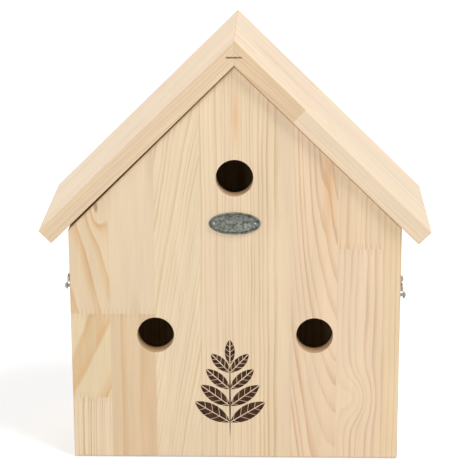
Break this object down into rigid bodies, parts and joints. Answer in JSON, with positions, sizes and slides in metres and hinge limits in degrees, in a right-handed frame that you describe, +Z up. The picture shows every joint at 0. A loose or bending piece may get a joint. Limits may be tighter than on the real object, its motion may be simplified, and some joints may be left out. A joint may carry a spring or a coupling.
{
  "type": "sparrow nest box",
  "caption": "Gabled pine nest box for sparrows with round entrance holes, a mitred board roof, inner nest chambers and a lift-off front held by side hooks.",
  "frame": {"origin": "on the ground, below the middle of the roof", "axes": "+X to the right seen from the front, +Y to the back, +Z up"},
  "size_m": [0.3674, 0.164, 0.4106],
  "materials": {
    "pine_front": "planed, untreated",
    "pine_box": "planed, untreated",
    "pine_roof": "planed, untreated",
    "peg_wood": "turned",
    "zinc_plate": "dull, mottled",
    "staple_steel": "galvanised",
    "latch_steel": "zinc plated"
  },
  "bodies": {
    "box": {"back_wall": "pine_box", "side_wall_left": "pine_box", "side_wall_right": "pine_box", "floor_board": "pine_box", "upper_floor": "pine_box", "divider": "pine_box", "roof_left": "pine_roof", "roof_right": "pine_roof", "ridge_staple_front": "staple_steel", "ridge_staple_back": "staple_steel", "peg_left": "peg_wood", "peg_right": "peg_wood", "hook_screw_left": "latch_steel", "hook_screw_right": "latch_steel"},
    "front": {"front_wall": "pine_front", "oval_plate": "zinc_plate", "catch_screw_left": "latch_steel", "catch_screw_right": "latch_steel"},
    "left_hook": {"hook_left": "latch_steel"},
    "right_hook": {"hook_right": "latch_steel"}
  },
  "joints": [
    {"name": "front_lift_off", "type": "slide", "parent": "box", "child": "front", "axis": [0, -1, 0], "range_m": [0, 0.12]},
    {"name": "hook_left_lift", "type": "hinge", "parent": "box", "child": "left_hook", "pos_m": [-0.1575, -0.032, 0.1764], "axis": [-1, 0, 0], "range_deg": [-10, 100]},
    {"name": "hook_right_lift", "type": "hinge", "parent": "box", "child": "right_hook", "pos_m": [0.1575, -0.032, 0.1684], "axis": [-1, 0, 0], "range_deg": [-10, 100]}
  ]
}
